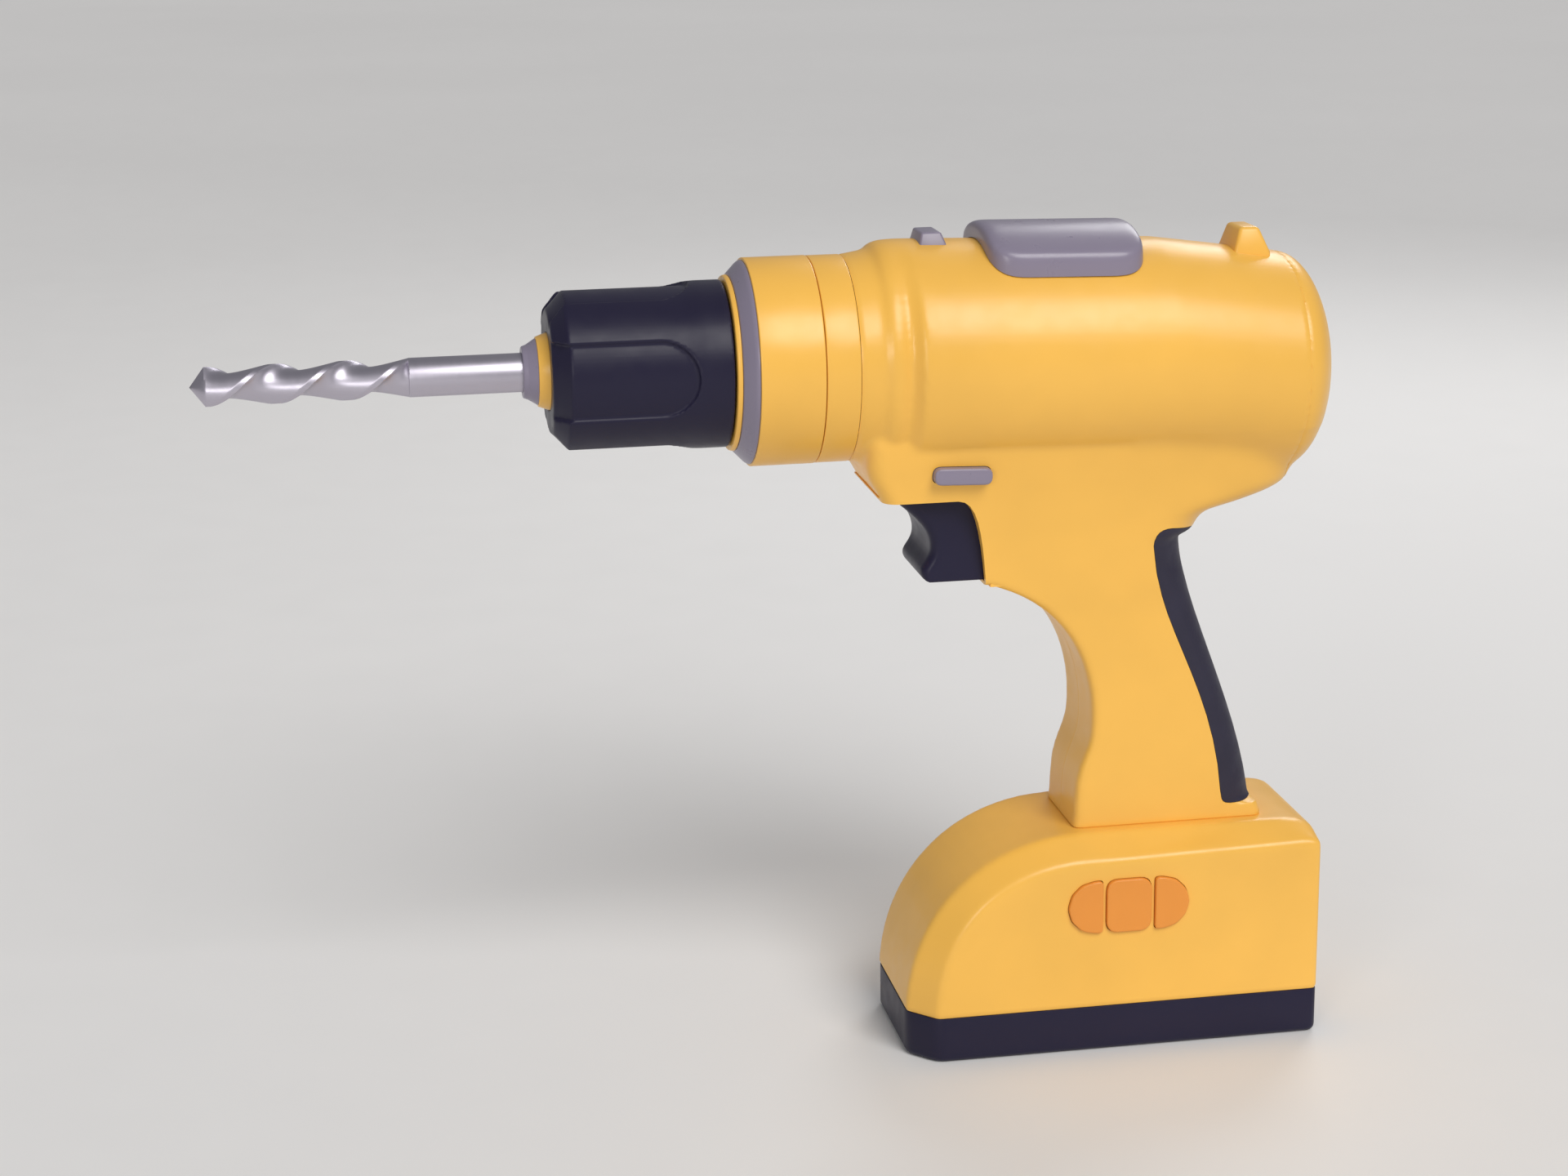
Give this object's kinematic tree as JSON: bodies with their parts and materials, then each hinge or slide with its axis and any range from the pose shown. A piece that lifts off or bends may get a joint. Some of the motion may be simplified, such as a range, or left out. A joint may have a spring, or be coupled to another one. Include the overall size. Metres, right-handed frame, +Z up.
{
  "type": "toy power drill",
  "caption": "Toy cordless drill with a pistol grip, a twist bit in a turning chuck, a pull trigger, a geared motor and a battery pack with push buttons.",
  "frame": {"origin": "centre of the battery pack's flat underside", "axes": "+Z up; the bit points along -X; +Y is the drill's own left when held with the bit forward"},
  "size_m": [0.266, 0.054, 0.2007],
  "materials": {
    "yellow_plastic": "satin moulded plastic",
    "navy_plastic": "satin moulded plastic",
    "grey_plastic": "satin moulded plastic",
    "orange_plastic": "satin moulded plastic",
    "soft_grip": "satin rubber",
    "pad_rubber": "matt silicone rubber",
    "bit_silver": "metallised satin plastic",
    "gear_plastic": "natural acetal",
    "case_plastic": "moulded grey plastic",
    "black_plastic": "moulded black plastic",
    "steel": "ground steel",
    "zinc_steel": "zinc-plated steel",
    "bronze": "sintered bronze",
    "winding_copper": "enamelled copper winding",
    "board_green": "lacquered circuit board",
    "cell_wrap": "plain printed wrap"
  },
  "bodies": {
    "housing": {"housing_left": "yellow_plastic", "housing_right": "yellow_plastic", "rear_cap": "yellow_plastic", "grip_insert": "soft_grip", "rear_sight": "yellow_plastic", "front_pointer": "grey_plastic", "middle_ring": "yellow_plastic", "gear_case": "case_plastic", "gear_plate": "case_plastic", "front_bush": "bronze", "rear_bush": "bronze", "layshaft_pin": "steel", "motor_can": "zinc_steel", "motor_end_cap": "gear_plastic", "trigger_switch": "black_plastic", "battery_shell": "yellow_plastic", "base_cover": "navy_plastic", "battery_cells": "cell_wrap", "contact_springs": "steel", "contact_plates": "zinc_steel", "circuit_board": "board_green", "button_pads": "pad_rubber", "speaker": "black_plastic", "housing_screws": "zinc_steel", "gear_plate_screws": "zinc_steel", "motor_screws": "zinc_steel", "base_screws": "zinc_steel"},
    "spindle": {"spindle_shaft": "steel", "output_gear": "gear_plastic", "shaft_clip": "steel", "chuck_core": "case_plastic", "chuck_sleeve": "navy_plastic", "chuck_nose": "grey_plastic", "nose_ring": "yellow_plastic", "drill_bit": "bit_silver"},
    "layshaft": {"compound_gear": "gear_plastic"},
    "rotor": {"motor_shaft": "steel", "motor_pinion": "gear_plastic", "armature": "winding_copper"},
    "torque_collar": {"clutch_collar": "yellow_plastic", "collar_bezel": "grey_plastic", "collar_lip": "yellow_plastic"},
    "trigger": {"trigger": "navy_plastic", "trigger_spring": "steel"},
    "direction_button": {"direction_button": "grey_plastic"},
    "speed_selector": {"speed_selector": "grey_plastic"},
    "left_button": {"left_button": "orange_plastic"},
    "centre_button": {"centre_button": "orange_plastic"},
    "right_button": {"right_button": "orange_plastic"}
  },
  "joints": [
    {"name": "spindle_spin", "type": "hinge", "parent": "housing", "child": "spindle", "pos_m": [-0.06, 0, 0.17], "axis": [1, 0, 0], "continuous": true},
    {"name": "layshaft_spin", "type": "hinge", "parent": "housing", "child": "layshaft", "pos_m": [-0.035, 0.012, 0.17], "axis": [1, 0, 0], "continuous": true},
    {"name": "motor_spin", "type": "hinge", "parent": "housing", "child": "rotor", "pos_m": [0, 0, 0.17], "axis": [1, 0, 0], "continuous": true},
    {"name": "collar_turn", "type": "hinge", "parent": "housing", "child": "torque_collar", "pos_m": [-0.078, 0, 0.17], "axis": [1, 0, 0], "range_deg": [0, 270]},
    {"name": "trigger_pull", "type": "slide", "parent": "housing", "child": "trigger", "axis": [1, 0, 0], "range_m": [0, 0.005], "stiffness_N_per_m": 400, "deforming": ["trigger_spring"]},
    {"name": "direction_slide", "type": "slide", "parent": "housing", "child": "direction_button", "axis": [0, 1, 0], "range_m": [-0.0018, 0.0018]},
    {"name": "speed_slide", "type": "slide", "parent": "housing", "child": "speed_selector", "axis": [0.9997, 0, -0.0242], "range_m": [0, 0.004]},
    {"name": "left_button_press", "type": "slide", "parent": "housing", "child": "left_button", "axis": [0, 1, 0], "range_m": [0, 0.0012], "stiffness_N_per_m": 300},
    {"name": "centre_button_press", "type": "slide", "parent": "housing", "child": "centre_button", "axis": [0, 1, 0], "range_m": [0, 0.0012], "stiffness_N_per_m": 300},
    {"name": "right_button_press", "type": "slide", "parent": "housing", "child": "right_button", "axis": [0, 1, 0], "range_m": [0, 0.0012], "stiffness_N_per_m": 300}
  ],
  "couplings": [
    {"joint": "layshaft_spin", "follows": "spindle_spin", "ratio": -3},
    {"joint": "motor_spin", "follows": "spindle_spin", "ratio": 9}
  ]
}
